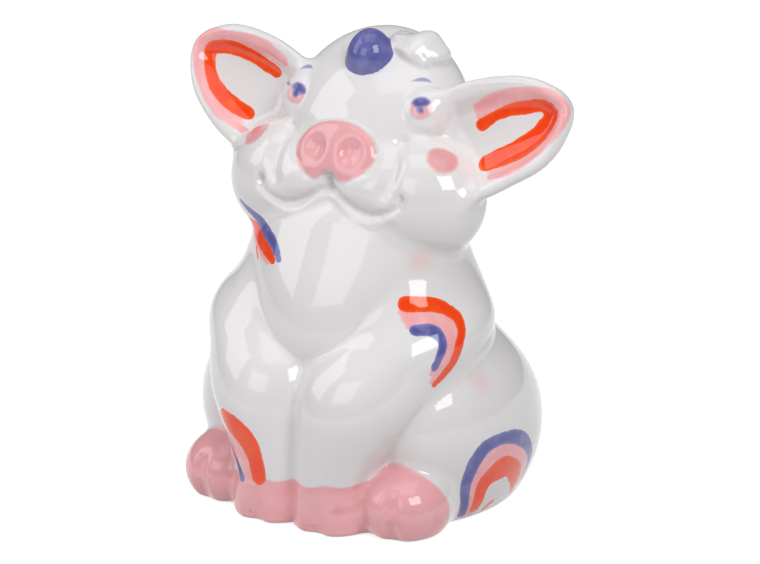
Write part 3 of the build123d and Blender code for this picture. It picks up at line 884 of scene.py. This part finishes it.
BLUSH_SHARE, SMUDGE_SHARE, EYE_SHARE, HAIR_SHARE, SPECK_SHARE = 0.88, 0.16, 0.85, 0.75, 0.7
SPECK_SCALE = 75
FOOT_GLAZED, FOOT_DRY = 0.0011, 0.0006


def colour_layers(tree, place):
    """The painted colour at a place on the skin, and how much of the dry foot is there."""
    wander = sums(tree, "SUBTRACT", noise(tree, place, scale=420, detail=3.0), 0.5)
    sway = sums(tree, "MULTIPLY", wander, HAND_SWAY)
    cloud = ramp(tree, noise(tree, place, scale=26), start=0.35, end=0.7)
    colour = layered(tree, cloud, WHITE, CREAM)
    wash = sums(tree, "ADD", painted(tree, "wash"), sway)
    pooled = ramp(tree, noise(tree, place, scale=120, detail=4.0), start=0.5, end=0.85)
    wash_tone = layered(tree, pooled, WASH, WASH_DEEP)
    colour = layered(tree, ramp(tree, wash, start=0.7, end=-0.7), colour, wash_tone)
    blush = sums(tree, "ADD", painted(tree, "blush"), sway)
    blush = sums(tree, "MULTIPLY", ramp(tree, blush, start=0.9, end=-1.1), BLUSH_SHARE)
    colour = layered(tree, blush, colour, BLUSH)
    smudge = sums(tree, "MULTIPLY", ramp(tree, painted(tree, "smudge"), start=4.5, end=-3.0), SMUDGE_SHARE)
    colour = layered(tree, smudge, colour, ORANGE_THIN)
    eye = sums(tree, "MULTIPLY", ramp(tree, painted(tree, "eye"), start=0.5, end=-0.9), EYE_SHARE)
    colour = layered(tree, eye, colour, WASH)
    for tint, (thin, full) in STROKE_TINTS.items():
        edge = sums(tree, "ADD", painted(tree, tint), sway)
        streak = ramp(tree, noise(tree, place, scale=170), start=0.2, end=0.6)
        load = sums(tree, "MULTIPLY", ramp(tree, edge, start=0.0, end=-1.4), streak)
        soft = IRIS_SOFT if tint == "iris" else STROKE_SOFT
        colour = layered(tree, ramp(tree, edge, soft, -soft), colour, layered(tree, load, thin, full))
    off_line = sums(tree, "ABSOLUTE", painted(tree, "line_above"))
    hair = sums(tree, "SUBTRACT", off_line, painted(tree, "line_thick"))
    hair = sums(tree, "MULTIPLY", ramp(tree, hair, start=0.25, end=-0.35), HAIR_SHARE)
    colour = layered(tree, hair, colour, VIOLET_THIN)
    grain = tree.nodes.new("ShaderNodeTexVoronoi")
    feed(tree, grain.inputs["Vector"], place)
    grain.inputs["Scale"].default_value = SPECK_SCALE
    chosen = tree.nodes.new("ShaderNodeSeparateColor")
    feed(tree, chosen.inputs[0], grain.outputs["Color"])
    rare = ramp(tree, chosen.outputs[0], start=0.86, end=0.9)
    speck = sums(tree, "MULTIPLY", ramp(tree, grain.outputs["Distance"], start=0.045, end=0.02), rare)
    colour = layered(tree, sums(tree, "MULTIPLY", speck, SPECK_SHARE), colour, SPECK)
    height = tree.nodes.new("ShaderNodeSeparateXYZ")
    feed(tree, height.inputs[0], place)
    dry = ramp(tree, height.outputs["Z"], FOOT_GLAZED, FOOT_DRY)
    crumb = ramp(tree, noise(tree, place, scale=900, detail=4.0), start=0.4, end=0.7)
    return layered(tree, dry, colour, layered(tree, crumb, BISCUIT, CREAM)), dry


# %% The glossy coat
GLOSS_LEAST, GLOSS_MORE, DRY_ROUGH = 0.04, 0.025, 0.8
GLAZE_IOR = 1.5
WAVE_SCALE, WAVE_STRENGTH, WAVE_HEIGHT = 75, 0.18, 0.0006


def glaze(slot):
    material = bpy.data.materials.new(slot)
    material.use_nodes = True
    tree = material.node_tree
    shader = tree.nodes["Principled BSDF"]
    place = tree.nodes.new("ShaderNodeTexCoord").outputs["Object"]
    colour, dry = colour_layers(tree, place)
    feed(tree, shader.inputs["Base Color"], colour)
    flow = ramp(tree, noise(tree, place, scale=60), start=0.3, end=0.8)
    gloss = sums(tree, "MULTIPLY_ADD", flow, GLOSS_MORE, GLOSS_LEAST)
    rough = sums(tree, "MAXIMUM", gloss, sums(tree, "MULTIPLY", dry, DRY_ROUGH))
    feed(tree, shader.inputs["Roughness"], rough)
    shader.inputs["IOR"].default_value = GLAZE_IOR
    bump = tree.nodes.new("ShaderNodeBump")
    bump.inputs["Strength"].default_value = WAVE_STRENGTH
    bump.inputs["Distance"].default_value = WAVE_HEIGHT
    feed(tree, bump.inputs["Height"], noise(tree, place, WAVE_SCALE, detail=1.0))
    feed(tree, shader.inputs["Normal"], bump.outputs["Normal"])
    return material


SLOTS = {"snout_pad": "pink_glaze", "horn": "violet_glaze"}
glazes = {slot: glaze(slot) for slot in ("white_glaze", "pink_glaze", "violet_glaze")}
for name, piece in pieces.items():
    slot = SLOTS.get(name, "pink_glaze" if name.endswith("trotter") else "white_glaze")
    piece.data.materials.append(glazes[slot])
    print(name, "wears", slot)

# %% [markdown]
# ## Studio
# The pig stands on a wide sheet of white paper, which glows where it is seen, so that it stays white. Glaze
# shows what stands round it, so each window-like patch on the pig is a soft box: a bright one at the pig's
# left, a wide pale one with a small bright core at its right, one in front and a large one above.

# %% Paper and surroundings
FLOOR_HALF = 3.0
GLOW_SHARE = 0.78
PAPER_DARK, PAPER_LIGHT, PAPER_ROUGH = (0.60, 0.60, 0.60, 1), (0.66, 0.66, 0.66, 1), 0.9
ROOM_GREY, ROOM_BLUE = 0.24, 1.03


def light_path(tree):
    """1 for rays that see the background: straight from the camera, mirrored or through glass."""
    rays = tree.nodes.new("ShaderNodeLightPath").outputs
    seen = sums(tree, "MAXIMUM", rays["Is Camera Ray"], rays["Is Glossy Ray"])
    return sums(tree, "MAXIMUM", seen, rays["Is Transmission Ray"])


floor_mesh = bpy.data.meshes.new("paper_floor")
corners = [(x * FLOOR_HALF, y * FLOOR_HALF, 0) for x, y in ((-1, -1), (1, -1), (1, 1), (-1, 1))]
floor_mesh.from_pydata(corners, [], [(0, 1, 2, 3)])
floor = bpy.data.objects.new("paper_floor", floor_mesh)
bpy.context.collection.objects.link(floor)

paper = bpy.data.materials.new("paper")
paper.use_nodes = True
tree = paper.node_tree
shader = tree.nodes["Principled BSDF"]
fibre = noise(tree, tree.nodes.new("ShaderNodeTexCoord").outputs["Object"], scale=300, detail=4.0)
feed(tree, shader.inputs["Base Color"], layered(tree, fibre, PAPER_DARK, PAPER_LIGHT))
shader.inputs["Roughness"].default_value = PAPER_ROUGH
shader.inputs["Specular IOR Level"].default_value = 0.0
white = tree.nodes.new("ShaderNodeEmission")
feed(tree, white.inputs["Strength"], sums(tree, "MULTIPLY", light_path(tree), GLOW_SHARE))
both_shaders = tree.nodes.new("ShaderNodeAddShader")
feed(tree, both_shaders.inputs[0], shader.outputs[0])
feed(tree, both_shaders.inputs[1], white.outputs[0])
feed(tree, tree.nodes["Material Output"].inputs["Surface"], both_shaders.outputs[0])
floor_mesh.materials.append(paper)

world = bpy.data.worlds.new("room")
bpy.context.scene.world = world
world.use_nodes = True
tree = world.node_tree
tree.nodes["Background"].inputs["Color"].default_value = (ROOM_GREY, ROOM_GREY, ROOM_GREY * ROOM_BLUE, 1)


# %% Soft boxes
def toward(turn, rise):
    """A direction from the pig, by the angle from its front to its left and the angle above the table."""
    turn, rise = math.radians(turn), math.radians(rise)
    return Vector((math.sin(turn) * math.cos(rise), -math.cos(turn) * math.cos(rise), math.sin(rise)))


LAMP_AWAY = 1.0
PIG_MIDDLE = Vector((0, 0, 0.08))
# turn and rise in degrees, width and height in metres, power in watts
SOFT_BOXES = {
    "key_box": (62, 36, 0.44, 0.40, 3.8),
    "wide_box": (-57, 31, 0.50, 0.66, 2.3),
    "wide_core": (-57, 31, 0.07, 0.07, 0.16),
    "front_box": (-8, 26, 0.50, 0.40, 1.2),
    "top_box": (30, 78, 0.90, 0.70, 2.6),
}


def soft_box(name, turn, rise, width, height, power):
    data = bpy.data.lights.new(name, "AREA")
    data.shape = "RECTANGLE"
    data.size, data.size_y = width, height
    data.energy = power
    lamp = bpy.data.objects.new(name, data)
    bpy.context.collection.objects.link(lamp)
    lamp.location = PIG_MIDDLE + toward(turn, rise) * LAMP_AWAY
    lamp.rotation_euler = toward(turn, rise).to_track_quat("Z", "Y").to_euler()
    print(name, "shines", round(power / (math.pi * width * height), 2), "per square metre and steradian")


for name, box in SOFT_BOXES.items():
    soft_box(name, *box)

bpy.context.scene.view_settings.view_transform = "Standard"
